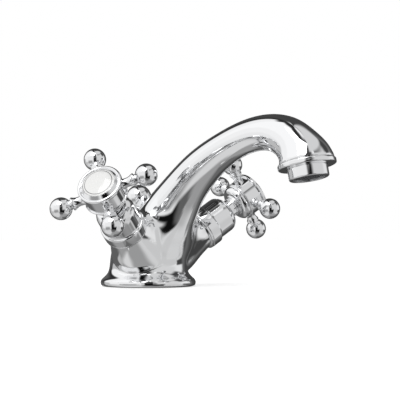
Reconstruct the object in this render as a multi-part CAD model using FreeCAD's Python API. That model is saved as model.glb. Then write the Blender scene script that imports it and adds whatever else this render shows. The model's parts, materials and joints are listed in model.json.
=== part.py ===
import FreeCAD, Part
import math
import os

# One-hole basin mixer tap with two cross handles, in millimetres.
# The origin is the centre of the base flange on the basin, +Z is up, the spout reaches towards -Y,
# the hot valve stands out towards -X and the cold valve towards +X.
# Lengths along a valve are measured on its axis from the body's centre line, the headwork's and the
# spindle's heights from the socket's rim, and those on a cross handle from the plane of its arms.

V = FreeCAD.Vector
UP = V(0, 0, 1)
SIDE = V(1, 0, 0)
BACK = V(0, 1, 0)
ORIGIN = V(0, 0, 0)
FULL_TURN = 360
HALF_TURN = 180
QUARTER_TURN = 90

# Base flange and waist of the body
base_radius = 30.0
base_rim_inset = 0.8
base_rim_height = 2.6
base_lip_height = 4.4
waist_radius = 24.2
waist_height = 12.5

# Leaning column and spout
spout_reach = 125.3
spout_neck_forward = 83.4
spout_arch_rise = 26.9
spout_neck_radius = 9.93
outlet_height = 63.0
outlet_tilt_deg = 11.2

# Stations of the cove: share of the height from lip to waist, share of the lip's overhang
cove_station_shares = [(0.22, 0.58), (0.56, 0.17)]

# Stations from waist to neck: share of the neck's forward reach, share of the rise above the waist,
# share of the waist's extra radius, and the lean of the section in degrees
column_station_shares = [
    (0.0012, 0.000, 1.000, 1.5),
    (0.011, 0.072, 0.972, 6.0),
    (0.047, 0.168, 0.895, 13.5),
    (0.103, 0.265, 0.748, 20.5),
    (0.168, 0.355, 0.580, 28.0),
    (0.243, 0.453, 0.439, 34.5),
    (0.362, 0.600, 0.261, 43.5),
    (0.532, 0.762, 0.142, 53.5),
    (0.786, 0.921, 0.012, 66.0),
    (1.000, 0.996, 0.000, 80.0),
]

# Stations from neck to mouth: share of the way forward, share of the drop,
# share of the mouth's extra radius, and the lean
mouth_station_shares = [
    (0.492, 0.017, 0.18, 103.5),
    (0.695, 0.195, 0.33, 121.0),
    (0.862, 0.500, 0.52, 139.0),
    (0.962, 0.773, 0.79, 156.0),
]

# Collar round the spout's mouth
collar_radius = 16.6
collar_root_radius = 16.2
collar_thickness = 2.6
collar_sunk_height = 0.8
collar_sunk_radius = 15.2
collar_round = 0.8
collar_bulge_share = 0.2

# Valve axes swing forward and lift up from the body's centre line
valve_root_height = 10.2
valve_swing_deg = 22.4
valve_lift_deg = 34.2

# Valve sockets of the casting
socket_length = 44.0
socket_radius = 11.6
socket_root_radius = 15.0
socket_rim_radius = 13.2
socket_rim_thickness = 0.9
socket_cove_height = 1.7
socket_cove_bulge_share = -0.2

# Stations from a socket's rim to its root: share of its length, share of the root's extra radius
socket_station_shares = [(1.0, 0.0), (0.875, 0.18), (0.75, 0.44), (0.568, 1.0)]

# Middle of the valve cross, between the two sockets
saddle_rise = 9.5
saddle_radius = 17.8
saddle_fillet = 6.0

# Waterways and threaded holes of the casting
valve_thread_radius = 8.33
chamber_floor = 22.0
inlet_side = 9.0
inlet_forward = 3.7
inlet_radius = 4.5
inlet_depth = 12.0
feed_radius = 3.0
mixing_length = 30.0
mixing_radius = 3.0
mixing_chamber_radius = 7.0
column_stations_below_mixing_count = 4
spout_bore_radius = 6.4
stud_forward = 14.0
stud_radius = 3.4
stud_depth = 14.0
overrun = 1.0

# Base seal in its groove under the flange
seal_inset = 2.4
seal_width = 4.0
seal_thickness = 1.5
seal_clearance = 0.1

# Outlet fitting, along the outlet axis from the collar's face
aerator_radius = 11.4
aerator_drop = 6.65
aerator_thread_length = 7.0
aerator_bore_radius = 9.9
aerator_lip_radius = 8.9
aerator_lip_thickness = 0.8
aerator_edge = 0.6
aerator_clearance = 0.12
washer_thickness = 1.2
washer_inner_radius = 7.6
screen_thickness = 0.9
screen_hole_flats = 1.9
screen_pitch = 2.4
screen_rings = 3
straightener_length = 10.0
straightener_port_count = 6
straightener_port_radius = 1.9
straightener_port_circle = 6.2
straightener_middle_radius = 2.6
insert_clearance = 0.1

# Bonnet over the headwork
bonnet_band_radius = 13.4
bonnet_band_height = 7.2
bonnet_radius = 11.9
bonnet_shoulder_height = 17.0
bonnet_height = 22.7
bonnet_nose_radius = 7.7
bonnet_nose_gap = 0.4
bonnet_nose_depth = 1.3
bonnet_wall = 1.5
bonnet_edge = 0.5
bonnet_nose_bulge_share = 0.17
bonnet_step_bulge_share = -0.2

# Ceramic discs and the seal below them
seat_seal_thickness = 2.4
seat_seal_bore = 3.0
disc_radius = 5.8
disc_thickness = 2.2
disc_gap = 0.05
disc_opening_inner = 1.3
disc_opening_outer = 4.6
disc_opening_deg = 80

# Headwork: brass body of the quarter-turn cartridge
headwork_clearance = 0.1
cage_radius = 7.5
cage_bore_radius = 6.0
cage_port_width = 5.0
headwork_washer_thickness = 1.0
headwork_washer_radius = 10.1
headwork_hex_flats = 17.0
headwork_hex_height = 5.0
headwork_neck_radius = 6.7
headwork_reach = 18.0

# Spindle with its O-rings and clip
spindle_radius = 3.9
spindle_running_clearance = 0.05
spindle_end_gap = 0.6
spline_radius = 3.6
spline_foot_gap = 0.1
spline_teeth = 20
spline_depth = 0.35
driver_thickness = 2.4
driver_inset = 0.2
o_ring_thickness = 1.1
o_ring_depth = 0.95
o_ring_heights = (3.0, 8.0)
clip_radius = 5.6
clip_thickness = 0.8
clip_depth = 0.5
clip_gap_deg = 70
tapped_radius = 1.7
tapped_depth = 9.0

# Cross handle
arm_plane_height = 38.4
hot_rest_turn_deg = 26.1
cold_rest_turn_deg = 21.1
arm_count = 4
hub_radius = 12.2
hub_top = 5.5
hub_ring_radius = 12.7
hub_ring_height = 1.1
hub_ring_bottom = -4.9
hub_ring_bulge_share = 0.35
hub_bowl_radius = 11.7
hub_bowl_bottom = -9.3
hub_bowl_bulge_share = 0.28
hub_collar_radius = 7.0
hub_collar_height = 1.0
hub_neck_radius = 5.9
hub_foot = -18.3
hub_wall = 3.0
hub_floor = -3.4
hub_web = 2.9
spline_clearance = 0.06

# Arm of the cross handle, along its own axis from the valve axis
arm_root_radius = 1.9
arm_root_length = 9.8
arm_foot_radius = 2.1
arm_collar_radius = 3.8
arm_collar_length = 18.0
arm_collar_height = 0.9
arm_groove_radius = 2.6
arm_groove_height = 0.7
arm_flare_bulge_share = -0.13
ball_circle_radius = 26.4
ball_radius = 6.6
arm_clearance = 0.05

# Index bezel and porcelain disc on the hub
bezel_radius = 13.3
bezel_height = 2.6
bezel_round = 0.9
bezel_bulge_share = 0.2
bezel_rim_radius = 11.5
bezel_floor = 0.9
bezel_hole_radius = 5.0
bezel_spigot_depth = 2.0
bezel_spigot_wall = 1.6
bezel_clearance = 0.08
index_edge_height = 1.5
index_dome_rise = 1.7
index_clearance = 0.08

# Handle screw
screw_radius = 1.6
screw_head_radius = 3.4
screw_head_height = 2.4
screw_socket_flats = 2.5
screw_socket_depth = 1.5
screw_length = 8.5

# Pop-up waste lift behind the spout
lift_back = 8.5
lift_rod_radius = 2.0
lift_rod_bottom = 2.0
lift_boss_radius = 5.2
lift_boss_bottom = 22.0
lift_boss_top = 42.5
guide_radius = 3.2
guide_length = 12.5
guide_flange_radius = 4.2
guide_flange_height = 1.2
guide_clearance = 0.1
spot_face_margin = 0.4
spot_face_headroom = 2.5
guide_running_clearance = 0.05
guide_ring_height = 1.2
guide_ring_drop = 5.5
guide_ring_width = 0.8
knob_ball_height = 11.7
knob_radius = 8.0
knob_neck_radius = 3.1
knob_collar_radius = 4.0
knob_collar_height = 1.2
knob_rest_gap = 0.3
knob_socket_depth = 6.0
knob_relief_clearance = 1.0
knob_travel = 20.0


# Shapes shared by the pieces

def line(start, end):
    return Part.LineSegment(start, end).toShape()


def bowed(start, end, bulge_share):
    """Arc in the XZ plane whose rise is bulge_share of its chord, to the right of the way along it."""
    chord = end - start
    across = V(chord.z, 0, -chord.x)
    middle = (start + end) * 0.5 + across * bulge_share
    return Part.Arc(start, middle, end).toShape()


def outline_face(outline):
    """Face in the XZ plane through (radius, height) points; a third value bows the run to its point."""
    corners = [V(point[0], 0, point[1]) for point in outline]
    edges = []
    for index, point in enumerate(outline):
        start = corners[index - 1]
        end = corners[index]
        if len(point) > 2:
            edges.append(bowed(start, end, point[2]))
        else:
            edges.append(line(start, end))
    return Part.Face(Part.Wire(edges))


def turned(outline, angle=FULL_TURN):
    return outline_face(outline).revolve(ORIGIN, UP, angle)


def ring(outer, inner, bottom, top):
    return turned([(inner, bottom), (outer, bottom), (outer, top), (inner, top)])


def rod(radius, bottom, top, x=0, y=0):
    return Part.makeCylinder(radius, top - bottom, V(x, y, bottom), UP)


def prism(points, bottom, top):
    corners = [V(x, y, bottom) for x, y in points]
    return Part.Face(Part.makePolygon(corners + corners[:1])).extrude(UP * (top - bottom))


def hexagon_points(flats, x=0, y=0):
    corner = flats / math.sqrt(3)
    points = []
    for index in range(6):
        angle = math.radians(index * FULL_TURN / 6)
        points.append((x + corner * math.cos(angle), y + corner * math.sin(angle)))
    return points


def spread(shape, count):
    """Copies of a shape spread evenly round Z."""
    copies = []
    for index in range(count):
        copy = shape.copy()
        copy.rotate(ORIGIN, UP, index * FULL_TURN / count)
        copies.append(copy)
    return copies


def frame_of(x_axis, y_axis, z_axis, origin):
    matrix = FreeCAD.Matrix(
        x_axis.x, y_axis.x, z_axis.x, origin.x,
        x_axis.y, y_axis.y, z_axis.y, origin.y,
        x_axis.z, y_axis.z, z_axis.z, origin.z,
        0, 0, 0, 1,
    )
    return FreeCAD.Placement(matrix)


def placed(shape, frame):
    moved = shape.copy()
    moved.Placement = frame.multiply(moved.Placement)
    return moved


def valve_direction(side):
    lift = math.radians(valve_lift_deg)
    swing = math.radians(valve_swing_deg)
    return V(side * math.cos(lift) * math.cos(swing), -math.cos(lift) * math.sin(swing), math.sin(lift))


def valve_frame(side):
    """Frame whose Z is the valve's axis, out of the body, and whose X is level."""
    out = valve_direction(side)
    level = UP.cross(out)
    level.normalize()
    return frame_of(level, out.cross(level), out, UP * valve_root_height)


def outlet_frame():
    """Frame whose Z is the water's way out and whose origin is on the collar's face."""
    tilt = math.radians(outlet_tilt_deg)
    way = V(0, -math.sin(tilt), -math.cos(tilt))
    face = V(0, -spout_reach, outlet_height) - way * aerator_drop
    return frame_of(SIDE, way.cross(SIDE), way, face)


# Body casting

def spline_wire(circle):
    """Wire of a circle as one spline, which lofts evenly through sections of any lean."""
    return Part.Wire(circle.toNurbs().Edges)


def section(radius, centre, normal):
    """Circle wire square to normal, with its seam at the back so that lofted sections don't twist."""
    seam = BACK - normal * BACK.dot(normal)
    seam.normalize()
    frame = frame_of(seam, normal.cross(seam), normal, centre)
    return spline_wire(placed(Part.makeCircle(radius, ORIGIN, UP), frame))


def leaning_section(radius, centre, lean_deg):
    """Circle wire whose normal leans from straight up towards -Y."""
    circle = Part.makeCircle(radius, ORIGIN, UP)
    circle.rotate(ORIGIN, UP, QUARTER_TURN)
    circle.rotate(ORIGIN, SIDE, lean_deg)
    circle.translate(centre)
    return spline_wire(circle)


def base_stations():
    edge_radius = base_radius - base_rim_inset
    stations = [
        (edge_radius, ORIGIN, 0),
        (base_radius, UP * base_rim_height, 0),
        (edge_radius, UP * base_lip_height, 0),
    ]
    for height_share, overhang_share in cove_station_shares:
        height = base_lip_height + height_share * (waist_height - base_lip_height)
        radius = waist_radius + overhang_share * (edge_radius - waist_radius)
        stations.append((radius, UP * height, 0))
    return stations


def arch_height():
    """Height of the spout's centre line at the top of its arch."""
    return outlet_height + spout_arch_rise


def column_stations():
    stations = []
    for forward_share, rise_share, swell_share, lean_deg in column_station_shares:
        height = waist_height + rise_share * (arch_height() - waist_height)
        radius = spout_neck_radius + swell_share * (waist_radius - spout_neck_radius)
        stations.append((radius, V(0, -forward_share * spout_neck_forward, height), lean_deg))
    return stations


def mouth_stations():
    mouth = outlet_frame().multVec(UP * -collar_thickness)
    stations = []
    for forward_share, drop_share, swell_share, lean_deg in mouth_station_shares:
        forward = spout_neck_forward + forward_share * (-mouth.y - spout_neck_forward)
        height = arch_height() - drop_share * (arch_height() - mouth.z)
        radius = spout_neck_radius + swell_share * (collar_root_radius - spout_neck_radius)
        stations.append((radius, V(0, -forward, height), lean_deg))
    stations.append((collar_root_radius, mouth, HALF_TURN - outlet_tilt_deg))
    return stations


def column_and_spout():
    stations = base_stations() + column_stations() + mouth_stations()
    wires = [leaning_section(radius, centre, lean_deg) for radius, centre, lean_deg in stations]
    return Part.makeLoft(wires, True, False)


def valve_cross():
    """Both sockets as one curved tube from the hot rim, through the body, to the cold rim."""
    rows = []
    for length_share, swell_share in socket_station_shares:
        radius = socket_radius + swell_share * (socket_root_radius - socket_radius)
        rows.append((length_share * socket_length, radius))
    bisector = valve_direction(1) + valve_direction(-1)
    bisector.normalize()
    hot = valve_direction(-1)
    cold = valve_direction(1)
    root = UP * valve_root_height
    wires = [section(radius, root + hot * length, hot * -1) for length, radius in rows]
    wires.append(section(saddle_radius, root + bisector * saddle_rise, SIDE))
    wires += [section(radius, root + cold * length, cold) for length, radius in reversed(rows)]
    return Part.makeLoft(wires, True, False)


def saddle_edges(body):
    """The longest edge above the flange on each side, where the valve cross comes out of the column."""
    edges = []
    for side in (-1, 1):
        beside = []
        for edge in body.Edges:
            box = edge.BoundBox
            if min(side * box.XMin, side * box.XMax) > 0 and box.ZMin > base_lip_height:
                beside.append(edge)
        edges.append(max(beside, key=lambda edge: edge.Length))
    return edges


def socket_rim():
    cove_bottom = socket_length - socket_rim_thickness - socket_cove_height
    return turned([
        (0, cove_bottom),
        (socket_radius - socket_rim_thickness, cove_bottom),
        (socket_rim_radius, socket_length - socket_rim_thickness, socket_cove_bulge_share),
        (socket_rim_radius, socket_length),
        (0, socket_length),
    ])


def collar():
    top = -collar_thickness - collar_sunk_height
    return turned([
        (0, top),
        (collar_sunk_radius, top),
        (collar_radius, -collar_thickness + collar_round / 2, collar_bulge_share),
        (collar_radius, -collar_round),
        (collar_radius - collar_round, 0, collar_bulge_share),
        (0, 0),
    ])


def spout_bore():
    """Round waterway along the spout, from the mixing chamber to the outlet fitting."""
    stations = column_stations()[column_stations_below_mixing_count:] + mouth_stations()
    wires = [leaning_section(spout_bore_radius, centre, lean_deg) for _, centre, lean_deg in stations]
    return Part.makeLoft(wires, True, False)


def passage(start, end, radius):
    way = end - start
    return Part.makeCylinder(radius, way.Length, start, way)


def inlet_point(side, height):
    return V(side * inlet_side, -inlet_forward, height)


def knob_relief():
    """Room over the lift boss for the guide's flange, the knob's neck and its ball as it rises."""
    flange_top = knob_bottom() + knob_collar_height + spot_face_headroom
    spot_face = rod(guide_flange_radius + spot_face_margin, lift_boss_top, flange_top, 0, lift_back)
    radius = knob_radius + knob_relief_clearance
    way = rod(radius, knob_centre(), knob_centre() + knob_travel + radius, 0, lift_back)
    return spot_face.fuse([way, Part.makeSphere(radius, V(0, lift_back, knob_centre()))])


def casting_cuts():
    frame = outlet_frame()
    pocket_top = -aerator_thread_length - washer_thickness
    seal_outer, seal_inner = seal_radii()
    cuts = [
        spout_bore(),
        placed(rod(aerator_radius + aerator_clearance, pocket_top, overrun), frame),
        rod(stud_radius, -overrun, stud_depth, 0, -stud_forward),
        rod(guide_radius + guide_clearance, -overrun, lift_boss_top + overrun, 0, lift_back),
        knob_relief(),
        ring(seal_outer + seal_clearance, seal_inner - seal_clearance, -overrun, seal_thickness),
    ]
    mixing_end = column_stations()[column_stations_below_mixing_count][1]
    cuts.append(Part.makeSphere(mixing_chamber_radius, mixing_end))
    for side in (-1, 1):
        valve = valve_frame(side)
        chamber_end = valve.multVec(UP * chamber_floor)
        inlet_top = inlet_point(side, inlet_depth)
        cuts.append(placed(rod(valve_thread_radius, chamber_floor, socket_length + overrun), valve))
        cuts.append(passage(inlet_point(side, -overrun), inlet_top, inlet_radius))
        cuts.append(passage(inlet_point(side, inlet_depth - inlet_radius), chamber_end, feed_radius))
        cuts.append(passage(valve.multVec(UP * mixing_length), mixing_end, mixing_radius))
    return cuts


def body_casting():
    body = column_and_spout().fuse(valve_cross())
    body = body.makeFillet(saddle_fillet, saddle_edges(body))
    boss = rod(lift_boss_radius, lift_boss_bottom, lift_boss_top, 0, lift_back)
    rims = [placed(socket_rim(), valve_frame(side)) for side in (-1, 1)]
    body = body.fuse(rims + [boss, placed(collar(), outlet_frame())])
    return body.cut(casting_cuts())


def seal_radii():
    outer = base_radius - seal_inset
    return outer, outer - seal_width


def base_seal():
    outer, inner = seal_radii()
    return ring(outer, inner, 0, seal_thickness)


# Outlet fitting

def aerator_housing():
    return turned([
        (aerator_bore_radius, -aerator_thread_length),
        (aerator_radius, -aerator_thread_length),
        (aerator_radius, aerator_drop - aerator_edge),
        (aerator_radius - aerator_edge, aerator_drop),
        (aerator_lip_radius, aerator_drop),
        (aerator_lip_radius, aerator_drop - aerator_lip_thickness),
        (aerator_bore_radius, aerator_drop - aerator_lip_thickness),
    ])


def aerator_washer():
    bottom = -aerator_thread_length - washer_thickness
    return ring(aerator_radius, washer_inner_radius, bottom, -aerator_thread_length)


def screen_centres():
    """Centres of the screen's holes, one in the middle and rings of six times the ring's number."""
    centres = [(0, 0)]
    for row in range(-screen_rings, screen_rings + 1):
        for column in range(-screen_rings, screen_rings + 1):
            if (row, column) != (0, 0) and abs(row + column) <= screen_rings:
                across = (column + row / 2) * screen_pitch
                along = row * screen_pitch * math.sqrt(3) / 2
                centres.append((across, along))
    return centres


def aerator_screen():
    top = aerator_drop - aerator_lip_thickness
    bottom = top - screen_thickness
    edge = Part.Wire([Part.makeCircle(aerator_bore_radius - insert_clearance, V(0, 0, bottom), UP)])
    wires = [edge]
    for x, y in screen_centres():
        turn = [V(px, py, bottom) for px, py in hexagon_points(screen_hole_flats)]
        quarter = [V(-point.y + x, point.x + y, bottom) for point in turn]
        wires.append(Part.makePolygon(quarter + quarter[:1]))
    return Part.Face(wires, "Part::FaceMakerBullseye").extrude(UP * screen_thickness)


def aerator_insert():
    top = aerator_drop - aerator_lip_thickness - screen_thickness
    bottom = top - straightener_length
    plug = rod(aerator_bore_radius - insert_clearance, bottom, top)
    port = rod(straightener_port_radius, bottom - overrun, top + overrun, straightener_port_circle)
    middle = rod(straightener_middle_radius, bottom - overrun, top + overrun)
    return plug.cut(spread(port, straightener_port_count) + [middle])


# Valve with its bonnet, headwork, discs and spindle

def bonnet():
    foot = socket_length
    band_top = foot + bonnet_band_height
    shoulder = foot + bonnet_shoulder_height
    nose = foot + bonnet_height
    nose_bore = hub_neck_radius + bonnet_nose_gap
    inside = bonnet_radius - bonnet_wall
    step = bonnet_band_radius - bonnet_radius - bonnet_edge
    return turned([
        (inside, foot),
        (bonnet_band_radius - bonnet_edge, foot),
        (bonnet_band_radius, foot + bonnet_edge),
        (bonnet_band_radius, band_top - bonnet_edge),
        (bonnet_band_radius - bonnet_edge, band_top),
        (bonnet_radius, band_top + step, bonnet_step_bulge_share),
        (bonnet_radius, shoulder),
        (bonnet_nose_radius, nose, bonnet_nose_bulge_share),
        (nose_bore, nose),
        (nose_bore, nose - bonnet_nose_depth),
        (inside, shoulder - bonnet_wall, -bonnet_nose_bulge_share),
    ])


def disc_levels():
    """Bottoms of the fixed disc, the moving disc and the driver, and the driver's top."""
    fixed = chamber_floor + seat_seal_thickness
    moving = fixed + disc_thickness + disc_gap
    driver = moving + disc_thickness + disc_gap
    return fixed, moving, driver, driver + driver_thickness


def headwork_end():
    return socket_length + headwork_reach


def headwork():
    foot = chamber_floor + disc_gap
    roof = disc_levels()[3] + headwork_clearance
    cage_top = roof + headwork_washer_thickness
    washer_top = socket_length + headwork_washer_thickness
    hex_top = washer_top + headwork_hex_height
    thread = valve_thread_radius - headwork_clearance
    bore = spindle_radius + spindle_running_clearance
    shell = turned([
        (cage_bore_radius, foot),
        (cage_radius, foot),
        (cage_radius, cage_top),
        (thread, cage_top + thread - cage_radius),
        (thread, washer_top),
        (headwork_neck_radius, washer_top),
        (headwork_neck_radius, headwork_end()),
        (bore, headwork_end()),
        (bore, roof),
        (cage_bore_radius, roof),
    ])
    nut = prism(hexagon_points(headwork_hex_flats), washer_top, hex_top)
    nut = nut.cut(rod(bore, washer_top - overrun, hex_top + overrun))
    fixed, moving = disc_levels()[:2]
    port_bottom = (fixed + moving) / 2
    reach = cage_radius + overrun
    port = Part.makeBox(reach * 2, cage_port_width, roof - port_bottom)
    port.translate(V(-reach, -cage_port_width / 2, port_bottom))
    return shell.fuse(nut).cut(port)


def seat_seal():
    top = chamber_floor + seat_seal_thickness
    return ring(disc_radius, seat_seal_bore, chamber_floor, top)


def ported_disc(bottom, turn_deg):
    """Ceramic disc with two openings shaped as sectors."""
    disc = rod(disc_radius, bottom, bottom + disc_thickness)
    opening = turned([
        (disc_opening_inner, bottom - overrun),
        (disc_opening_outer, bottom - overrun),
        (disc_opening_outer, bottom + disc_thickness + overrun),
        (disc_opening_inner, bottom + disc_thickness + overrun),
    ], disc_opening_deg)
    opening.rotate(ORIGIN, UP, turn_deg - disc_opening_deg / 2)
    return disc.cut(spread(opening, 2))


def fixed_disc():
    return ported_disc(disc_levels()[0], 0)


def moving_disc():
    return ported_disc(disc_levels()[1], QUARTER_TURN)


def headwork_washer():
    top = socket_length + headwork_washer_thickness
    return ring(headwork_washer_radius, valve_thread_radius, socket_length, top)


def spline_points():
    points = []
    for index in range(spline_teeth * 2):
        radius = spline_radius - (index % 2) * spline_depth
        angle = math.radians(index * HALF_TURN / spline_teeth)
        points.append((radius * math.cos(angle), radius * math.sin(angle)))
    return points


def clip_bottom():
    return headwork_end() + disc_gap


def arm_plane():
    return socket_length + arm_plane_height


def spindle():
    driver_bottom, driver_top = disc_levels()[2:]
    spline_start = arm_plane() + hub_foot - spline_foot_gap
    spindle_end = arm_plane() + hub_floor - hub_web - spindle_end_gap
    shaft = rod(spindle_radius, driver_top, spline_start)
    driver = rod(disc_radius - driver_inset, driver_bottom, driver_top)
    spline = prism(spline_points(), spline_start, spindle_end)
    cuts = [rod(tapped_radius, spindle_end - tapped_depth, spindle_end + overrun)]
    for length in o_ring_levels():
        cuts.append(ring(spindle_radius + overrun, spindle_radius - o_ring_depth, length, length + o_ring_thickness))
    bottom = clip_bottom()
    cuts.append(ring(spindle_radius + overrun, spindle_radius - clip_depth, bottom, bottom + clip_thickness))
    return shaft.fuse([driver, spline]).cut(cuts)


def o_ring_levels():
    return [socket_length + height for height in o_ring_heights]


def spindle_o_rings():
    rings = []
    for length in o_ring_levels():
        rings.append(ring(spindle_radius, spindle_radius - o_ring_depth, length, length + o_ring_thickness))
    return Part.makeCompound(rings)


def spindle_clip():
    bottom = clip_bottom()
    top = bottom + clip_thickness
    inner = spindle_radius - clip_depth
    outline = [(inner, bottom), (clip_radius, bottom), (clip_radius, top), (inner, top)]
    return turned(outline, FULL_TURN - clip_gap_deg)


# Cross handle: every height is counted from the plane of its arms

def handle_hub():
    neck_top = hub_bowl_bottom - hub_collar_height
    ring_top = hub_ring_bottom + hub_ring_height
    socket = spline_radius + spline_clearance
    inside = hub_radius - hub_wall
    hub = turned([
        (0, hub_foot),
        (hub_neck_radius, hub_foot),
        (hub_neck_radius, neck_top),
        (hub_collar_radius, neck_top),
        (hub_collar_radius, hub_bowl_bottom),
        (hub_bowl_radius, hub_ring_bottom, hub_bowl_bulge_share),
        (hub_ring_radius, hub_ring_bottom),
        (hub_ring_radius, ring_top, hub_ring_bulge_share),
        (hub_radius, ring_top),
        (hub_radius, hub_top),
        (inside, hub_top),
        (inside, hub_floor),
        (0, hub_floor),
    ])
    arm_hole = Part.makeCylinder(arm_root_radius + arm_clearance, hub_ring_radius, ORIGIN, SIDE)
    cuts = spread(arm_hole, arm_count)
    cuts.append(rod(socket, hub_foot - overrun, hub_floor - hub_web))
    cuts.append(rod(tapped_radius, hub_floor - hub_web - overrun, hub_floor + overrun))
    return hub.cut(cuts)


def handle_arm():
    """Turned arm along X: threaded root, flared stem, collar, groove and ball."""
    collar_end = arm_collar_length + arm_collar_height
    ball_start = ball_circle_radius - math.sqrt(ball_radius ** 2 - arm_groove_radius ** 2)
    stem = turned([
        (0, arm_root_length),
        (arm_root_radius, arm_root_length),
        (arm_root_radius, hub_radius),
        (arm_foot_radius, hub_radius),
        (arm_collar_radius, arm_collar_length, arm_flare_bulge_share),
        (arm_collar_radius, collar_end),
        (arm_groove_radius, collar_end + arm_groove_height / 2),
        (arm_groove_radius, ball_start + arm_groove_height),
        (0, ball_start + arm_groove_height),
    ])
    ball = Part.makeSphere(ball_radius, V(0, 0, ball_circle_radius))
    arm = stem.fuse(ball)
    arm.rotate(ORIGIN, BACK, QUARTER_TURN)
    return arm


def handle_arms():
    return Part.makeCompound(spread(handle_arm(), arm_count))


def index_bezel():
    top = hub_top + bezel_height
    spigot = hub_radius - hub_wall - bezel_clearance
    spigot_bottom = hub_top - bezel_spigot_depth
    return turned([
        (spigot - bezel_spigot_wall, spigot_bottom),
        (spigot, spigot_bottom),
        (spigot, hub_top),
        (bezel_radius, hub_top),
        (bezel_radius, top - bezel_round),
        (bezel_radius - bezel_round, top, bezel_bulge_share),
        (bezel_rim_radius, top),
        (bezel_rim_radius, hub_top + bezel_floor),
        (bezel_hole_radius, hub_top + bezel_floor),
        (bezel_hole_radius, hub_top),
        (spigot - bezel_spigot_wall, hub_top),
    ])


def index_disc():
    bottom = hub_top + bezel_floor
    edge_top = bottom + index_edge_height
    radius = bezel_rim_radius - index_clearance
    dome_radius = (radius ** 2 + index_dome_rise ** 2) / (2 * index_dome_rise)
    centre = V(0, 0, edge_top + index_dome_rise - dome_radius)
    dome = Part.makeSphere(dome_radius, centre)
    return rod(radius, bottom, edge_top + index_dome_rise).common(dome)


def handle_screw():
    head_top = hub_floor + screw_head_height
    head = rod(screw_head_radius, hub_floor, head_top)
    shank = rod(screw_radius, hub_floor - screw_length, hub_floor)
    socket = prism(hexagon_points(screw_socket_flats), head_top - screw_socket_depth, head_top + overrun)
    return head.fuse(shank).cut(socket)


# Pop-up waste lift

def lift_rod():
    return rod(lift_rod_radius, lift_rod_bottom, knob_bottom() + knob_socket_depth, 0, lift_back)


def knob_bottom():
    return lift_boss_top + guide_flange_height + knob_rest_gap


def knob_centre():
    return knob_bottom() + knob_ball_height


def lift_knob():
    bottom = knob_bottom()
    stem = turned([
        (0, bottom),
        (knob_collar_radius, bottom),
        (knob_collar_radius, bottom + knob_collar_height),
        (knob_neck_radius, bottom + knob_collar_height),
        (knob_neck_radius, knob_centre()),
        (0, knob_centre()),
    ])
    knob = stem.fuse(Part.makeSphere(knob_radius, UP * knob_centre()))
    knob = knob.cut(rod(lift_rod_radius, bottom - overrun, bottom + knob_socket_depth))
    knob.translate(BACK * lift_back)
    return knob


def guide_ring_levels():
    top = lift_boss_top - guide_ring_drop
    return top - guide_ring_height, top


def rod_guide():
    bore = lift_rod_radius + guide_running_clearance
    flange_top = lift_boss_top + guide_flange_height
    guide_bottom = lift_boss_top - guide_length
    guide = turned([
        (bore, guide_bottom),
        (guide_radius, guide_bottom),
        (guide_radius, lift_boss_top),
        (guide_flange_radius, lift_boss_top),
        (guide_flange_radius, flange_top),
        (bore, flange_top),
    ])
    bottom, top = guide_ring_levels()
    guide = guide.cut(ring(bore + guide_ring_width, 0, bottom, top))
    guide.translate(BACK * lift_back)
    return guide


def rod_seal():
    bottom, top = guide_ring_levels()
    bore = lift_rod_radius + guide_running_clearance
    seal = ring(bore + guide_ring_width, bore, bottom, top)
    seal.translate(BACK * lift_back)
    return seal


# Nodes of the tap

def fixed_valve_nodes():
    return {
        "bonnet": bonnet(),
        "headwork": headwork(),
        "headwork_washer": headwork_washer(),
        "seat_seal": seat_seal(),
        "fixed_disc": fixed_disc(),
    }


def turning_valve_nodes():
    return {
        "spindle": spindle(),
        "spindle_o_rings": spindle_o_rings(),
        "spindle_clip": spindle_clip(),
        "moving_disc": moving_disc(),
    }


def handle_nodes():
    return {
        "handle_hub": handle_hub(),
        "handle_arms": handle_arms(),
        "handle_screw": handle_screw(),
        "index_bezel": index_bezel(),
        "index_disc": index_disc(),
    }


def all_nodes():
    outlet = outlet_frame()
    nodes = {
        "body_casting": body_casting(),
        "base_seal": base_seal(),
        "aerator_housing": placed(aerator_housing(), outlet),
        "aerator_washer": placed(aerator_washer(), outlet),
        "aerator_insert": placed(aerator_insert(), outlet),
        "aerator_screen": placed(aerator_screen(), outlet),
        "lift_rod": lift_rod(),
        "lift_knob": lift_knob(),
        "rod_guide": rod_guide(),
        "rod_seal": rod_seal(),
    }
    for name, side, rest_turn_deg in (("hot", -1, hot_rest_turn_deg), ("cold", 1, cold_rest_turn_deg)):
        frame = valve_frame(side)
        for part, shape in {**fixed_valve_nodes(), **turning_valve_nodes()}.items():
            nodes[f"{name}_{part}"] = placed(shape, frame)
        for part, shape in handle_nodes().items():
            shape.rotate(ORIGIN, UP, rest_turn_deg)
            shape.translate(UP * arm_plane())
            nodes[f"{name}_{part}"] = placed(shape, frame)
    return nodes


def main():
    os.makedirs("parts", exist_ok=True)
    for name, shape in all_nodes().items():
        shape.exportStep(f"parts/{name}.step")


main()
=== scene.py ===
import bpy
import bmesh
import json
import math
import numpy as np
from mathutils import Matrix, Vector
from mathutils.bvhtree import BVHTree


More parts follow.
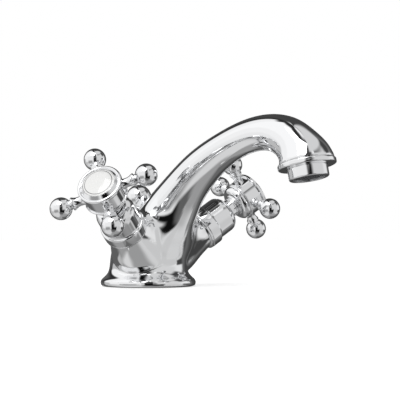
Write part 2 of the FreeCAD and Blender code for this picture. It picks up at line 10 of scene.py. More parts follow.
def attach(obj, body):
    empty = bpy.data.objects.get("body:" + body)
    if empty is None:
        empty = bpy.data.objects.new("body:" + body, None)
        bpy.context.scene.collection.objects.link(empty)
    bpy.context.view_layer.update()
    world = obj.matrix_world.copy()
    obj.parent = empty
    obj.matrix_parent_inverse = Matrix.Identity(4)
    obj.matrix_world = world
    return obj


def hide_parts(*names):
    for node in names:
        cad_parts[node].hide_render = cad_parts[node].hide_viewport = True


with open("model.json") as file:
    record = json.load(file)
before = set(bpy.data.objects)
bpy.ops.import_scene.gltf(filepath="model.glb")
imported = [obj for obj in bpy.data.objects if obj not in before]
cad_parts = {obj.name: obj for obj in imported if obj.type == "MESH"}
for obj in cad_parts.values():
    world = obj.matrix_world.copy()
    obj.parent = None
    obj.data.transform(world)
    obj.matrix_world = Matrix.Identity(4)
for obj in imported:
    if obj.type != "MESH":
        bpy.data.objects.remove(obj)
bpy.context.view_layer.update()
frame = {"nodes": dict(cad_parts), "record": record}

# Sizes are in millimetres, as in the part's source. Meshes are scaled to metres as they are made.
MM = 0.001
TURN = 2 * math.pi
UP = Vector((0, 0, 1))
SIDE = Vector((1, 0, 0))

# Each valve's name, and the side of the column on which it stands
VALVES = (("hot", -1), ("cold", 1))

# The valves' axes meet at the root over the basin, swing to the front and rise to the handles
VALVE_ROOT = 10.2
VALVE_SWING = math.radians(22.4)
VALVE_LIFT = math.radians(34.2)
ARM_PLANE = 82.4
REST_TURNS = {"hot": math.radians(26.1), "cold": math.radians(21.1)}

# The outlet fitting ends at the mouth and stands out of the collar by its drop
OUTLET_TILT = math.radians(11.2)
OUTLET_MOUTH = Vector((0, -125.3, 63.0))
AERATOR_DROP = 6.65

# The waste lift stands upright behind the column
LIFT_BACK = 8.5

# Column and spout as (y, z, radius, lean in degrees), from the foot to the mouth
CASTING_ROWS = [
    (0, 0.02, 29.2, 0), (0, 2.6, 29.97, 0), (0, 4.4, 29.2, 0), (0, 6.2, 27.1, 0),
    (0, 8.9, 25.05, 0), (-0.1, 12.5, 24.2, 1.5), (-0.9, 18, 23.8, 6), (-3.9, 25.5, 22.7, 13.5),
    (-8.6, 33, 20.6, 20.5), (-14, 40, 18.2, 28), (-20.3, 47.6, 16.2, 34.5),
    (-30.2, 58.9, 13.65, 43.5), (-44.4, 71.5, 11.95, 53.5), (-65.6, 83.8, 10.1, 66),
    (-83.4, 89.6, 9.93, 80), (-103.1, 89.6, 11.06, 103.5), (-111.2, 86.4, 12.0, 121),
    (-117.9, 81, 13.2, 139), (-121.9, 76.2, 14.9, 156), (-123.5, 72.1, 16.2, 168.8),
]
CASTING_COUNT = 150
CASTING_SIDES = 96

# Both valve sockets are one tube: (length on the valve's axis, radius) from each rim to the root,
# and a saddle between them
SOCKET_ROWS = [(43.9, 11.6), (38.5, 12.2), (33, 13.1), (25, 15)]
SADDLE_RISE = 9.5
SADDLE_RADIUS = 17.8
SOCKET_COUNT = 60
SOCKET_SIDES = 80

# Blend of the column and the sockets. It begins at its foot and is full from BLEND_RISE over that.
# A point of the skin moves in up to BLEND_ROUNDS steps, until one is shorter than SETTLED_STEP.
# What lies further than SKIN_DEPTH from the skin of both forms is the lift's boss, and it stays.
# Forms that meet flatter than LEAST_BEND do not blend, and LEAST_WAY and TINY keep steps finite.
BLEND_WIDTH = 17
BLEND_FOOT = 9
BLEND_RISE = 14
BLEND_ROUNDS = 6
LEAST_BEND = 0.02
LEAST_WAY = 0.3
SKIN_DEPTH = 0.7
ON_SKIN = 0.01
LONGEST_STEP = 2
SETTLED_STEP = 0.02
TINY = 1e-9

# The skin is drawn anew before and after the blend: the size of its mesh, and rounds of smoothing
FIRST_VOXEL, FIRST_SMOOTHING = 0.56, 10
LAST_VOXEL, LAST_SMOOTHING = 0.6, 13

# Boss for the lift rod at the casting's back
BOSS_RADIUS = 5.2
BOSS_BOTTOM = 22
BOSS_TOP = 42.5

# Holes from below as (radius, top, x, y): both inlets, the fixing stud's hole and the lift rod's
HOLE_START = -1
HOLES = [(4.5, 12, -9, -3.7), (4.5, 12, 9, -3.7), (3.4, 14, 0, -14), (3.3, 44, 0, LIFT_BACK)]

# Outlines of turned pieces. A corner is (radius, height, rounding, bow): rounding wears the corner
# round, and bow bends the run that leads to it, as a share of the run's length.
COLLAR_OUTLINE = [
    (11.6, -3.3), (15.3, -3.3), (16.58, -2.2, 0.3, 0.2), (16.58, -0.8, 0.3), (15.8, 0, 0.3, 0.2),
    (11.6, 0, 0.2),
]
SOCKET_RIM_OUTLINE = [
    (0, 41.3), (10.9, 41.3), (13.2, 43.1, 0.15, -0.2), (13.2, 44.0, 0.15), (10.9, 44.0), (0, 44.0),
]
OUTLET_RING_OUTLINE = [
    (9.9, -7), (11.4, -7), (11.4, 6.1, 0.3), (10.8, 6.65, 0.3), (8.9, 6.65, 0.25), (8.9, 5.85),
    (9.9, 5.85),
]
BONNET_OUTLINE = [
    (10.4, 44.05), (12.9, 44.05, 0.2), (13.4, 44.5, 0.25), (13.4, 50.7, 0.3), (12.9, 51.2, 0.25),
    (11.9, 52.2, 0.4, -0.2), (11.9, 61.0, 1.2), (7.7, 66.7, 0.5, 0.17), (6.3, 66.7, 0.3),
    (6.3, 65.4), (10.4, 59.5, 0, -0.17),
]
HUB_OUTLINE = [
    (3.7, -18.3), (5.9, -18.3, 0.2), (5.9, -11.9, 0.1), (6.4, -11.9, 0.25), (6.4, -11.1, 0.25),
    (5.9, -11.1, 0.1), (5.9, -10.3, 0.2), (7.2, -10.3, 0.35), (7.2, -9.3, 0.25),
    (11.7, -4.9, 0.2, 0.28), (12.7, -4.9, 0.35), (12.7, -3.8, 0.35, 0.35), (12.2, -3.8, 0.15),
    (12.2, 5.5, 0.2), (9.2, 5.5), (9.2, -3.4), (3.7, -3.4),
]
BEZEL_OUTLINE = [
    (7.52, 3.5), (9.12, 3.5), (9.12, 5.55), (13.3, 5.55, 0.35), (13.3, 6.9, 0.4),
    (11.7, 7.6, 0.15, 0.24), (11.4, 7.15, 0.1), (9.7, 9.1, 0.12), (9.5, 9.0, 0.05), (9.5, 6.4),
    (5, 6.4), (5, 5.5), (7.52, 5.5),
]
DISC_OUTLINE = [(0, 6.42), (9.45, 6.42, 0.15), (9.45, 8.8, 0.3), (0, 9.75, 0, 0.05)]
ROD_GUIDE_OUTLINE = [
    (2.05, 30), (3.2, 30), (3.2, 42.5), (4.2, 42.5, 0.2), (4.2, 43.7, 0.3), (2.05, 43.7, 0.2),
]

# Stems that end in a ball, with the ball as (neck, radius, centre's height, steps)
ARM_BALL = (2.9, 6.58, 26.4, 28)
ARM_STEM = [
    (0, 10.0), (3.3, 10.0), (3.3, 11.9), (3.9, 18.6, 0.25, -0.12), (3.9, 19.3, 0.3),
    (2.9, 19.7, 0.2),
]
KNOB_BALL = (3.1, 8, 55.7, 32)
KNOB_STEM = [(0, 44.0), (4.0, 44.0, 0.3), (4.0, 45.2, 0.3), (3.1, 45.6, 0.2)]

# Points of an outline that are nearer than this count as one, and so do a mesh's (in metres)
SAME_POINT = 1e-6
SAME_VERTEX = 1e-7


# Frames

def axes(x_axis, y_axis, z_axis):
    return Matrix((x_axis, y_axis, z_axis)).transposed().to_4x4()


def valve_frame(side):
    """Frame of a valve: Z is its axis out of the body, X is level."""
    out = Vector((side * math.cos(VALVE_LIFT) * math.cos(VALVE_SWING),
                  -math.cos(VALVE_LIFT) * math.sin(VALVE_SWING), math.sin(VALVE_LIFT)))
    level = UP.cross(out).normalized()
    across = out.cross(level)
    return Matrix.Translation(UP * VALVE_ROOT * MM) @ axes(level, across, out)


def outlet_frame():
    """Frame of the outlet: Z is the water's way out, and the origin is on the collar's face."""
    way = Vector((0, -math.sin(OUTLET_TILT), -math.cos(OUTLET_TILT)))
    face = OUTLET_MOUTH - way * AERATOR_DROP
    return Matrix.Translation(face * MM) @ axes(SIDE, way.cross(SIDE), way)


def handle_frame(name, side):
    """Frame of a cross handle at rest, with its origin in the plane of its arms."""
    return (valve_frame(side) @ Matrix.Translation(UP * ARM_PLANE * MM)
            @ Matrix.Rotation(REST_TURNS[name], 4, "Z"))


def lift_frame():
    return Matrix.Translation((0, LIFT_BACK * MM, 0))


# Outlines

def bowed_run(start, end, bow, steps=14):
    """Points of an arc from start to end whose rise is bow times its chord."""
    if not bow:
        return [end]
    chord = end - start
    across = Vector((chord.y, -chord.x))
    rise = bow * chord.length
    radius = (chord.length_squared / 4 + rise * rise) / (2 * abs(rise))
    half_angle = math.asin(min(1, chord.length / 2 / radius))
    middle = (start + end) / 2
    out = across.normalized() * (1 if bow > 0 else -1)
    centre = middle - out * (radius - abs(rise))
    points = []
    for index in range(1, steps + 1):
        angle = half_angle * (2 * index / steps - 1)
        points.append(centre + out * radius * math.cos(angle)
                      + chord.normalized() * radius * math.sin(angle))
    return points


def cut_start(points, distance):
    """Polyline without its first stretch, at most half of it."""
    total = sum((after - before).length for before, after in zip(points, points[1:]))
    distance = min(distance, total / 2)
    for index in range(len(points) - 1):
        step = (points[index + 1] - points[index]).length
        if distance < step:
            return ([points[index].lerp(points[index + 1], distance / step)]
                    + points[index + 1:])
        distance -= step
    return points[-1:]


def rounded_corner(before, corner, after, steps=5):
    """Points of the curve that wears a corner round."""
    points = []
    for index in range(1, steps):
        t = index / steps
        points.append(before * (1 - t) ** 2 + corner * 2 * t * (1 - t) + after * t * t)
    return points


def outline(corners, closed=False):
    """Polyline through the corners, with its runs bowed and its corners worn round."""
    full = [tuple(corner) + (0,) * (4 - len(corner)) for corner in corners]
    spots = [Vector(corner[:2]) for corner in full]
    first = 0 if closed else 1
    runs = [[spots[index - 1]] + bowed_run(spots[index - 1], spots[index], full[index][3])
            for index in range(first, len(full))]
    curves = []
    for index in range(len(runs) - first):
        following = (index + 1) % len(runs)
        rounding = full[index + first][2]
        if rounding:
            runs[index] = cut_start(runs[index][::-1], rounding)[::-1]
            runs[following] = cut_start(runs[following], rounding)
            curves.append(rounded_corner(runs[index][-1], spots[index + first],
                                         runs[following][0]))
        else:
            curves.append([])
    points = []
    for run, curve in zip(runs, curves + [[]]):
        points += run + curve
    kept = [point for index, point in enumerate(points)
            if index == 0 or (point - points[index - 1]).length > SAME_POINT]
    if closed and (kept[0] - kept[-1]).length < SAME_POINT:
        kept.pop()
    return kept


def ball_outline(neck, radius, centre, steps):
    """Outline of a ball from its neck round to its far end."""
    start = math.acos(neck / radius)
    points = []
    for index in range(steps + 1):
        angle = -start + (math.pi / 2 + start) * index / steps
        points.append((radius * math.cos(angle), centre + radius * math.sin(angle)))
    points[-1] = (0, points[-1][1])
    return points


# Meshes and objects

def turned(corners, closed=False, steps=96):
    """Mesh turned round Z from an outline."""
    bm = bmesh.new()
    verts = [bm.verts.new((point.x * MM, 0, point.y * MM)) for point in outline(corners, closed)]
    ends = verts[1:] + verts[:1] if closed else verts[1:]
    edges = [bm.edges.new(pair) for pair in zip(verts, ends)]
    bmesh.ops.spin(bm, geom=verts + edges, cent=(0, 0, 0), axis=(0, 0, 1), dvec=(0, 0, 0),
                   angle=TURN, steps=steps, use_merge=True)
    bmesh.ops.remove_doubles(bm, verts=bm.verts, dist=SAME_VERTEX)
    bmesh.ops.recalc_face_normals(bm, faces=bm.faces)
    return bm


def tube(sections, sides):
    """Closed tube through sections, each a placement that turns a unit circle into it."""
    bm = bmesh.new()
    ring = bmesh.ops.create_circle(bm, cap_ends=False, radius=1, segments=sides)["verts"]
    edges = bm.edges[:]
    bmesh.ops.transform(bm, matrix=sections[0], verts=ring)
    for last, following in zip(sections, sections[1:]):
        grown = bmesh.ops.extrude_edge_only(bm, edges=edges)["geom"]
        ring = [item for item in grown if isinstance(item, bmesh.types.BMVert)]
        edges = [item for item in grown if isinstance(item, bmesh.types.BMEdge)
                 and all(vert in ring for vert in item.verts)]
        bmesh.ops.transform(bm, matrix=following @ last.inverted(), verts=ring)
    bmesh.ops.holes_fill(bm, edges=bm.edges, sides=0)
    bmesh.ops.recalc_face_normals(bm, faces=bm.faces)
    return bm


def post(radius, bottom, top, x=0.0, y=0.0, segments=48):
    """Upright round post."""
    bm = bmesh.new()
    bmesh.ops.create_cone(bm, cap_ends=True, segments=segments, radius1=radius * MM,
                          radius2=radius * MM, depth=(top - bottom) * MM)
    return moved(bm, Matrix.Translation(Vector((x, y, (top + bottom) / 2)) * MM))


def joined(meshes):
    """One bmesh from several."""
    whole = bmesh.new()
    for bm in meshes:
        mesh = bpy.data.meshes.new("joined")
        bm.to_mesh(mesh)
        bm.free()
        whole.from_mesh(mesh)
        bpy.data.meshes.remove(mesh)
    return whole


def moved(bm, matrix):
    bmesh.ops.transform(bm, matrix=matrix, verts=bm.verts)
    return bm


def placed(name, data):
    """Object in the scene for a mesh, lamp or camera."""
    obj = bpy.data.objects.new(name, data)
    bpy.context.scene.collection.objects.link(obj)
    return obj


def object_from(name, bm):
    mesh = bpy.data.meshes.new(name)
    bm.to_mesh(mesh)
    bm.free()
    return placed(name, mesh)


def removed(obj):
    mesh = obj.data
    bpy.data.objects.remove(obj)
    bpy.data.meshes.remove(mesh)


def shaded(obj, sharp_deg=40):
    obj.data.polygons.foreach_set("use_smooth", [True] * len(obj.data.polygons))
    obj.data.set_sharp_from_angle(angle=math.radians(sharp_deg))
    return obj


def fitted(name, bm, body, slot, material, *replaced):
    """Finished piece: rides on its body, stands for its CAD nodes and takes its finish."""
    obj = shaded(object_from(name, bm))
    obj.data.materials.append(material)
    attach(obj, body)
    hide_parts(*replaced)


def with_modifier(obj, kind, **values):
    modifier = obj.modifiers.new(kind.lower(), kind)
    for name, value in values.items():
        setattr(modifier, name, value)


def settled(obj):
    """Takes the modifiers into the mesh."""
    bpy.context.view_layer.update()
    graph = bpy.context.evaluated_depsgraph_get()
    result = bpy.data.meshes.new_from_object(obj.evaluated_get(graph))
    obj.modifiers.clear()
    obj.data = result


def drawn_anew(obj, voxel):
    with_modifier(obj, "REMESH", mode="VOXEL", voxel_size=voxel * MM, use_smooth_shade=True)


def smoothed(obj, rounds):
    with_modifier(obj, "SMOOTH", factor=0.5, iterations=rounds)


def cut_away(obj, tools):
    """Takes closed meshes out of a piece one after the other."""
    for bm in tools:
        tool = object_from("tool", bm)
        with_modifier(obj, "BOOLEAN", operation="DIFFERENCE", object=tool, solver="EXACT")
        settled(obj)
        removed(tool)


# Finishes

# Slot of the CAD: (name, colour, metallic, roughness, smudge, scale and depth of its unevenness)
FINISH_ROWS = {
    "chrome_body": ("chrome_casting", (0.9, 0.905, 0.915), 1, 0.03, 0.02, 90, 0.01),
    "chrome_trim": ("chrome_trim", (0.89, 0.895, 0.905), 1, 0.035, 0.02, 90, 0.01),
    "chrome_handle": ("chrome_handle", (0.9, 0.905, 0.915), 1, 0.03, 0.02, 90, 0.01),
    "raw_brass": ("raw_brass", (0.62, 0.42, 0.17), 1, 0.32, 0.12, 140, 0.2),
    "spring_steel": ("spring_steel", (0.5, 0.51, 0.53), 1, 0.28, 0.12, 160, 0.1),
    "steel_screen": ("screen_steel", (0.32, 0.33, 0.34), 1, 0.4, 0.12, 220, 0.2),
    "grey_plastic": ("grey_plastic", (0.28, 0.285, 0.29), 0, 0.5, 0.12, 180, 0.2),
    "black_rubber": ("black_rubber", (0.018, 0.018, 0.019), 0, 0.75, 0.12, 260, 0.4),
    "valve_ceramic": ("valve_ceramic", (0.82, 0.81, 0.78), 0, 0.25, 0.12, 150, 0.05),
}

# Height of the unevenness, in metres
BUMP_HEIGHT = 0.0002

# Porcelain: its colours, and the printed ring as shares of a reach from the disc's centre
GLAZE = (0.8, 0.8, 0.79, 1)
PRINT_GREY = (0.16, 0.16, 0.17, 1)
RING_REACH = 12
RING_STOPS = ((0.662, GLAZE), (0.672, PRINT_GREY), (0.696, PRINT_GREY), (0.706, GLAZE))
GLAZE_COAT = 0.5
GLAZE_POLISH = (0.12, 0.04, 120, 0.01)


def link(tree, output, target):
    tree.links.new(output, target)


def new_material(name):
    material = bpy.data.materials.new(name)
    material.use_nodes = True
    return material, material.node_tree.nodes["Principled BSDF"]


def polish_group():
    """Very fine unevenness of a polished or glazed surface: roughness and a shallow normal."""
    group = bpy.data.node_groups.new("polish_unevenness", "ShaderNodeTree")
    face = group.interface
    for name in ("Roughness", "Smudge", "Scale", "Depth"):
        face.new_socket(name=name, in_out="INPUT", socket_type="NodeSocketFloat")
    face.new_socket(name="Roughness", in_out="OUTPUT", socket_type="NodeSocketFloat")
    face.new_socket(name="Normal", in_out="OUTPUT", socket_type="NodeSocketVector")
    inside = group.nodes.new("NodeGroupInput")
    outside = group.nodes.new("NodeGroupOutput")
    place = group.nodes.new("ShaderNodeTexCoord")
    noise = group.nodes.new("ShaderNodeTexNoise")
    noise.inputs["Detail"].default_value = 3
    smudge = group.nodes.new("ShaderNodeMath")
    smudge.operation = "MULTIPLY_ADD"
    bump = group.nodes.new("ShaderNodeBump")
    bump.inputs["Distance"].default_value = BUMP_HEIGHT
    link(group, place.outputs["Object"], noise.inputs["Vector"])
    link(group, inside.outputs["Scale"], noise.inputs["Scale"])
    link(group, noise.outputs["Fac"], smudge.inputs[0])
    link(group, inside.outputs["Smudge"], smudge.inputs[1])
    link(group, inside.outputs["Roughness"], smudge.inputs[2])
    link(group, noise.outputs["Fac"], bump.inputs["Height"])
    link(group, inside.outputs["Depth"], bump.inputs["Strength"])
    link(group, smudge.outputs[0], outside.inputs["Roughness"])
    link(group, bump.outputs["Normal"], outside.inputs["Normal"])
    return group


def with_polish(material, roughness, smudge, scale, depth):
    """Material with the unevenness of its surface."""
    tree = material.node_tree
    shader = tree.nodes["Principled BSDF"]
    node = tree.nodes.new("ShaderNodeGroup")
    node.node_tree = POLISH
    node.inputs["Roughness"].default_value = roughness
    node.inputs["Smudge"].default_value = smudge
    node.inputs["Scale"].default_value = scale
    node.inputs["Depth"].default_value = depth
    link(tree, node.outputs["Roughness"], shader.inputs["Roughness"])
    link(tree, node.outputs["Normal"], shader.inputs["Normal"])
    return material


def finish(name, colour, metallic, *unevenness):
    material, shader = new_material(name)
    shader.inputs["Base Color"].default_value = (*colour, 1)
    shader.inputs["Metallic"].default_value = metallic
    return with_polish(material, *unevenness)


def porcelain(name, centre):
    """White glaze with a thin grey printed ring round the disc's centre."""
    material, shader = new_material(name)
    tree = material.node_tree
    place = tree.nodes.new("ShaderNodeTexCoord")
    centred = tree.nodes.new("ShaderNodeMapping")
    centred.vector_type = "TEXTURE"
    centred.inputs["Location"].default_value = centre.to_translation()
    centred.inputs["Rotation"].default_value = centre.to_euler()
    flat = tree.nodes.new("ShaderNodeVectorMath")
    flat.operation = "MULTIPLY"
    flat.inputs[1].default_value = (1, 1, 0)
    reach = tree.nodes.new("ShaderNodeVectorMath")
    reach.operation = "LENGTH"
    spread = tree.nodes.new("ShaderNodeMath")
    spread.operation = "MULTIPLY"
    spread.inputs[1].default_value = 1 / (RING_REACH * MM)
    ramp = tree.nodes.new("ShaderNodeValToRGB")
    stops = ramp.color_ramp.elements
    for stop, position in zip(stops, (0, 1)):
        stop.position = position
        stop.color = GLAZE
    for position, colour in RING_STOPS:
        stops.new(position).color = colour
    link(tree, place.outputs["Object"], centred.inputs["Vector"])
    link(tree, centred.outputs["Vector"], flat.inputs[0])
    link(tree, flat.outputs["Vector"], reach.inputs[0])
    link(tree, reach.outputs["Value"], spread.inputs[0])
    link(tree, spread.outputs["Value"], ramp.inputs["Fac"])
    link(tree, ramp.outputs["Color"], shader.inputs["Base Color"])
    shader.inputs["Coat Weight"].default_value = GLAZE_COAT
    return with_polish(material, *GLAZE_POLISH)


POLISH = polish_group()
FINISHES = {slot: finish(*row) for slot, row in FINISH_ROWS.items()}


def finish_cad_nodes():
    """Gives the CAD's own nodes their finishes."""
    for part in frame["record"]["subparts"]:
        slots = frame["nodes"][part["node"]].data.materials
        material = FINISHES.get(part["material_slot"])
        if material:
            slots.clear()
            slots.append(material)


# Casting

def smooth_rows(rows, count):
    """Rows of a natural cubic spline through the given rows, evenly spread over the distance
    that their first two columns travel."""
    table = np.array(rows, float)
    steps = np.linalg.norm(np.diff(table[:, :2], axis=0), axis=1)
    at = np.concatenate([[0], np.cumsum(steps)])
    size = len(table)
    system = np.eye(size)
    right = np.zeros_like(table)
    for index in range(1, size - 1):
        before, after = steps[index - 1], steps[index]
        system[index, index - 1:index + 2] = before, 2 * (before + after), after
        right[index] = 6 * ((table[index + 1] - table[index]) / after
                            - (table[index] - table[index - 1]) / before)
    bend = np.linalg.solve(system, right)
    result = []
    for distance in np.linspace(0, at[-1], count):
        index = min(int(np.searchsorted(at, distance, side="right")) - 1, size - 2)
        width = steps[index]
        a = (at[index + 1] - distance) / width
        b = 1 - a
        bent = (a ** 3 - a) * bend[index] + (b ** 3 - b) * bend[index + 1]
        result.append(a * table[index] + b * table[index + 1] + bent * width * width / 6)
    return result


def smooth_rows_3d(rows, count):
    """As smooth_rows, spread by the distance between the rows' centres."""
    travelled = [0.0]
    for before, after in zip(rows, rows[1:]):
        travelled.append(travelled[-1] + (Vector(after[:3]) - Vector(before[:3])).length)
    table = [(distance, 0.0) + tuple(row) for distance, row in zip(travelled, rows)]
    return [row[2:] for row in smooth_rows(table, count)]


def section(place, radius):
    return place @ Matrix.Diagonal((radius * MM, radius * MM, 1, 1))


def casting_sections():
    sections = []
    for y, z, radius, lean in smooth_rows(CASTING_ROWS, CASTING_COUNT):
        sections.append(section(Matrix.Translation(Vector((0, y, z)) * MM)
                                @ Matrix.Rotation(math.radians(lean), 4, "X"), radius))
    return sections


def socket_section(normal, centre, radius):
    seam = Vector((0, 1, 0))
    seam = (seam - normal * seam.dot(normal)).normalized()
    return section(Matrix.Translation(centre * MM) @ axes(seam, normal.cross(seam), normal), radius)


def socket_sections():
    root = UP * VALVE_ROOT
    hot = valve_frame(-1).to_3x3() @ UP
    cold = valve_frame(1).to_3x3() @ UP
    bisector = (hot + cold).normalized()
    rows = [(root + hot * length, -hot, radius) for length, radius in SOCKET_ROWS]
    rows.append((root + bisector * SADDLE_RISE, SIDE, SADDLE_RADIUS))
    rows += [(root + cold * length, cold, radius) for length, radius in reversed(SOCKET_ROWS)]
    table = [tuple(centre) + tuple(normal) + (radius,) for centre, normal, radius in rows]
    return [socket_section(Vector(row[3:6]).normalized(), Vector(row[:3]), row[6])
            for row in smooth_rows_3d(table, SOCKET_COUNT)]


def way_out(tree, point):
    """Distance out of a closed form, below zero inside it, and the direction out of it."""
    spot, normal, _, distance = tree.find_nearest(point)
    if distance < ON_SKIN * MM:
        return 0.0, normal
    away = (point - spot) / distance
    side = 1 if away.dot(normal) >= 0 else -1
    return side * distance, away * side


def eased(value):
    value = min(1, max(0, value))
    return value * value * (3 - 2 * value)


def flow_together(obj, first, second):
    """Moves the skin out where two crossing forms meet at an angle, so that one runs into the
    other. It starts over the flange, which keeps its form, and leaves the lift's boss alone.
    """
    reach = BLEND_WIDTH * MM
    for vert in obj.data.vertices:
        point = vert.co.copy()
        first_gap, first_way = way_out(first, point)
        second_gap, second_way = way_out(second, point)
        if abs(min(first_gap, second_gap)) > SKIN_DEPTH * MM:
            continue
        for _ in range(BLEND_ROUNDS):
            if abs(first_gap - second_gap) >= reach:
                break
            share = 0.5 + (second_gap - first_gap) / (2 * reach)
            height = eased((point.z / MM - BLEND_FOOT) / BLEND_RISE)
            bend = min(1, 1 - first_way.dot(second_way)) * height
            near = 1 - abs(first_gap - second_gap) / reach
            gap = min(first_gap, second_gap) - bend * reach * near * near / 4
            share = share if bend > LEAST_BEND else float(first_gap < second_gap)
            way = first_way * share + second_way * (1 - share)
            step = way * (gap / max(LEAST_WAY, way.length_squared))
            point -= step * min(1, LONGEST_STEP * MM / max(step.length, TINY))
            if step.length < SETTLED_STEP * MM:
                break
            first_gap, first_way = way_out(first, point)
            second_gap, second_way = way_out(second, point)
        vert.co = point


def casting():
    """Base, column, spout and both sockets as one skin with wide fillets where they cross."""
    column = tube(casting_sections(), CASTING_SIDES)
    sockets = tube(socket_sections(), SOCKET_SIDES)
    column_tree = BVHTree.FromBMesh(column)
    sockets_tree = BVHTree.FromBMesh(sockets)
    boss = post(BOSS_RADIUS, BOSS_BOTTOM, BOSS_TOP, y=LIFT_BACK, segments=64)
    skin = object_from("casting", joined([column, sockets, boss]))
    drawn_anew(skin, FIRST_VOXEL)
    settled(skin)
    flow_together(skin, column_tree, sockets_tree)
    smoothed(skin, FIRST_SMOOTHING)
    drawn_anew(skin, LAST_VOXEL)
    smoothed(skin, LAST_SMOOTHING)
    settled(skin)
    cut_away(skin, [post(radius, HOLE_START, top, x, y) for radius, top, x, y in HOLES])
    bm = bmesh.new()
    bm.from_mesh(skin.data)
    removed(skin)
    return bm


# Turned pieces in their places

def collar():
    """Rounded lip at the spout's mouth, over the opening for the outlet fitting."""
    return moved(turned(COLLAR_OUTLINE, closed=True), outlet_frame())


def socket_rim(side):
    return moved(turned(SOCKET_RIM_OUTLINE), valve_frame(side))


def outlet_ring():
    return moved(turned(OUTLET_RING_OUTLINE, closed=True), outlet_frame())


def bonnet(side):
    return moved(turned(BONNET_OUTLINE, closed=True), valve_frame(side))


def rod_guide():
    return moved(turned(ROD_GUIDE_OUTLINE, closed=True, steps=64), lift_frame())


def knob():
    return moved(turned(KNOB_STEM + ball_outline(*KNOB_BALL), steps=80), lift_frame())


def arm():
    """One arm along +X with its ball."""
    return moved(turned(ARM_STEM + ball_outline(*ARM_BALL), steps=64),
                 Matrix.Rotation(math.pi / 2, 4, "Y"))


def arms():
    return joined([moved(arm(), Matrix.Rotation(TURN * index / 4, 4, "Z")) for index in range(4)])


# Each piece with its body, slot, finish and the CAD nodes that it stands for

def dress_body():
    chrome = FINISHES["chrome_body"]
    fitted("casting_skin", casting(), "body", "chrome_body", chrome, "body_casting")
    fitted("spout_collar", collar(), "body", "chrome_body", chrome, "body_casting")
    for name, side in VALVES:
        fitted(f"{name}_socket_rim", socket_rim(side), "body", "chrome_body", chrome, "body_casting")
    trim = FINISHES["chrome_trim"]
    fitted("outlet_ring", outlet_ring(), "body", "chrome_trim", trim, "aerator_housing")
    fitted("lift_bush", rod_guide(), "body", "chrome_trim", trim, "rod_guide")
    for name, side in VALVES:
        fitted(f"{name}_shroud", bonnet(side), "body", "chrome_trim", trim, f"{name}_bonnet")


def dress_handles():
    chrome = FINISHES["chrome_handle"]
    trim = FINISHES["chrome_trim"]
    for name, side in VALVES:
        place = handle_frame(name, side)
        body = f"{name}_handle"
        fitted(f"{name}_hub", moved(turned(HUB_OUTLINE, closed=True), place), body,
               "chrome_handle", chrome, f"{name}_handle_hub")
        fitted(f"{name}_cross", moved(arms(), place), body,
               "chrome_handle", chrome, f"{name}_handle_arms")
        fitted(f"{name}_bezel", moved(turned(BEZEL_OUTLINE, closed=True), place), body,
               "chrome_trim", trim, f"{name}_index_bezel")
        fitted(f"{name}_index", moved(turned(DISC_OUTLINE), place), body,
               "porcelain", porcelain(f"{name}_porcelain", place), f"{name}_index_disc")


def dress_lift():
    fitted("lift_ball", knob(), "waste_lift", "chrome_handle", FINISHES["chrome_handle"],
           "lift_knob")


# Camera at the photograph's viewing angle, and the photograph's own width
CAMERA_PLACE = (-515.97, -506.65, 30.96)
CAMERA_VIEW = (0.743874, 0.667568, 0.031701)
CAMERA_ACROSS = (0.667915, -0.744237, -0.000485)
FOCAL_PIXELS = 1150.12
PHOTO_WIDTH = 400
SENSOR_WIDTH = 36

# Studio: white all round, with grey and black cards standing where the metal shows them. Angles are
# in degrees: across from the camera's side, to the right as seen from the camera, and up from level.
# Each card is (across from, across to, up from, up to, soft edge, slant, tone), and slant tips it,
# in degrees up per degree across. Later cards stand in front of earlier ones. Lengths are in metres.
CAMERA_BEARING = math.atan2(-CAMERA_VIEW[1], -CAMERA_VIEW[0])
CARD_DISTANCE = 3.0
CARD_STEP = 0.02
CHROME_SHARE = 0.9
CARDS = [
    (29, 180, -51, 90, 6, 0.02, 0.25),
    (-180, 26, -77, 84, 12, -0.03, 0.26),
    (-9, 178, -45, 24, 14, 0.08, 0.88),
    (-152, 47, -62, 19, 6, 0.4, 0.06),
    (92, 172, -22, 1, 6, -0.03, 0.25),
    (5, 167, 45, 89, 8, 0.03, 0.81),
    (-177, -129, -57, 51, 6, 0.13, 0.36),
    (-159, -14, -7, 90, 20, 0, 0.17),
    (52, 180, -90, -25, 10, 0.03, 0.52),
    (44, 100, -52, 26, 6, -0.35, 0.77),
    (58, 109, -50, -29, 6, 0.06, 0.8),
    (-133, -68, -77, -1, 6, -0.22, 0.72),
    (-180, 116, -90, -33, 20, 0, 0.59),
    (-62, 42, -67, -29, 15, 0, 0.36),
    (10, 100, -24, 46, 20, 0.16, 0.81),
    (-123, -5, -80, -11, 19, 0.1, 0.82),
    (-110, -3, -38, 62, 13, -0.18, 0.91),
    (-136, -72, -9, 58, 8, -0.1, 0.94),
    (-110, -46, 22, 78, 6, 0, 0.97),
    (115, 176, -90, 50, 13, 0.1, 0.39),
    (-78, -11, -45, 1, 20, -0.01, 0.58),
    (126, 180, -56, 90, 20, 0, 0.25),
]
FLOOR_REACH = 6
FLOOR_DROP = 0.0002
WORLD_ON_MATT = (0.7, 0.7, 0.7, 1)
WHITE = (1, 1, 1, 1)
BLACK = (0, 0, 0, 1)


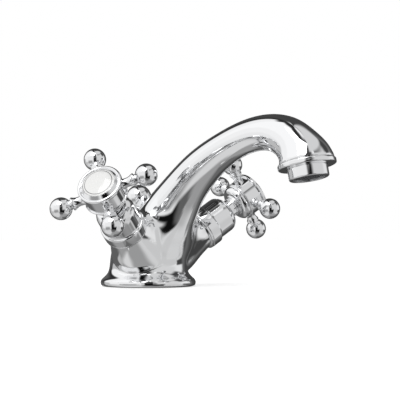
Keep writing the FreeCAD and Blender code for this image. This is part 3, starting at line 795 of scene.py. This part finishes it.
def card(name, distance, across_from, across_to, up_from, up_to, edge, slant, tone):
    """Matt card bent round the object. It fades out over its soft edges, but not where it ends
    behind the object, straight up or straight down."""
    bm = bmesh.new()
    bmesh.ops.create_grid(bm, x_segments=72, y_segments=48, size=0.5)
    cover = bm.verts.layers.float.new("cover")
    for vert in bm.verts:
        across = across_from + (across_to - across_from) * (vert.co.x + 0.5)
        up = up_from + (up_to - up_from) * (vert.co.y + 0.5)
        borders = ((across - across_from, across_from > -180), (across_to - across, across_to < 180),
                   (up - up_from, up_from > -90), (up_to - up, up_to < 90))
        vert[cover] = math.prod(eased(gap / edge) for gap, soft in borders if soft)
        bearing = CAMERA_BEARING + math.radians(across)
        lift = math.radians(min(90, max(-90, up + slant * across)))
        vert.co = Vector((math.cos(lift) * math.cos(bearing), math.cos(lift) * math.sin(bearing),
                          math.sin(lift))) * distance
    obj = shaded(object_from(name, bm), sharp_deg=180)
    obj.data.materials.append(card_material(name, tone))
    obj.visible_camera = False
    obj.visible_diffuse = False
    obj.visible_shadow = False


def card_material(name, tone):
    """Finish of a card whose tone is given as it looks in the chrome on the picture."""
    light = ((tone + 0.055) / 1.055) ** 2.4 / CHROME_SHARE
    material, shader = new_material(name)
    tree = material.node_tree
    shader.inputs["Base Color"].default_value = BLACK
    shader.inputs["Roughness"].default_value = 1
    shader.inputs["Specular IOR Level"].default_value = 0
    shader.inputs["Emission Color"].default_value = (light, light, light, 1)
    shader.inputs["Emission Strength"].default_value = 1
    cover = tree.nodes.new("ShaderNodeAttribute")
    cover.attribute_name = "cover"
    link(tree, cover.outputs["Fac"], shader.inputs["Alpha"])
    material.cycles.emission_sampling = "NONE"
    return material


def floor():
    bm = bmesh.new()
    bmesh.ops.create_grid(bm, x_segments=1, y_segments=1, size=FLOOR_REACH)
    obj = object_from("floor", moved(bm, Matrix.Translation((0, 0, -FLOOR_DROP))))
    obj.visible_glossy = False
    material, shader = new_material("studio_floor")
    shader.inputs["Base Color"].default_value = (0.8, 0.8, 0.8, 1)
    shader.inputs["Roughness"].default_value = 0.9
    shader.inputs["Emission Color"].default_value = WHITE
    shader.inputs["Emission Strength"].default_value = 0.5
    obj.data.materials.append(material)


def white_world():
    """White to the camera, in mirrors and through glass, and a little darker on matt surfaces."""
    world = bpy.data.worlds.new("studio")
    bpy.context.scene.world = world
    world.use_nodes = True
    tree = world.node_tree
    level = tree.nodes.new("ShaderNodeMix")
    level.data_type = "RGBA"
    level.inputs["A"].default_value = WORLD_ON_MATT
    level.inputs["B"].default_value = WHITE
    rays = tree.nodes.new("ShaderNodeLightPath")
    seen = rays.outputs["Is Camera Ray"]
    for name in ("Is Glossy Ray", "Is Transmission Ray"):
        either = tree.nodes.new("ShaderNodeMath")
        either.operation = "MAXIMUM"
        link(tree, seen, either.inputs[0])
        link(tree, rays.outputs[name], either.inputs[1])
        seen = either.outputs[0]
    link(tree, seen, level.inputs["Factor"])
    link(tree, level.outputs["Result"], tree.nodes["Background"].inputs["Color"])
    tree.nodes["Background"].inputs["Strength"].default_value = 1


def soft_light(name, place, target, size, power):
    lamp = bpy.data.lights.new(name, "AREA")
    lamp.shape = "SQUARE"
    lamp.size = size
    lamp.energy = power
    obj = placed(name, lamp)
    obj.location = place
    obj.rotation_euler = (Vector(target) - Vector(place)).to_track_quat("-Z", "Y").to_euler()


def studio():
    floor()
    white_world()
    for index, values in enumerate(CARDS):
        card(f"card_{index + 1}", CARD_DISTANCE - CARD_STEP * index, *values)
    soft_light("key", place=(-0.6, -0.2, 0.9), target=(0, -0.03, 0.04), size=0.6, power=3.2)


def camera():
    data = bpy.data.cameras.new("camera")
    data.sensor_width = SENSOR_WIDTH
    data.lens = FOCAL_PIXELS / PHOTO_WIDTH * SENSOR_WIDTH
    data.clip_end = 50
    obj = placed("camera", data)
    across = Vector(CAMERA_ACROSS).normalized()
    view = Vector(CAMERA_VIEW).normalized()
    rise = across.cross(view).normalized()
    obj.matrix_world = (Matrix.Translation(Vector(CAMERA_PLACE) * MM)
                        @ axes(across, rise, -view))
    bpy.context.scene.camera = obj


finish_cad_nodes()
dress_body()
dress_handles()
dress_lift()
studio()
camera()
bpy.context.scene.view_settings.view_transform = "Standard"
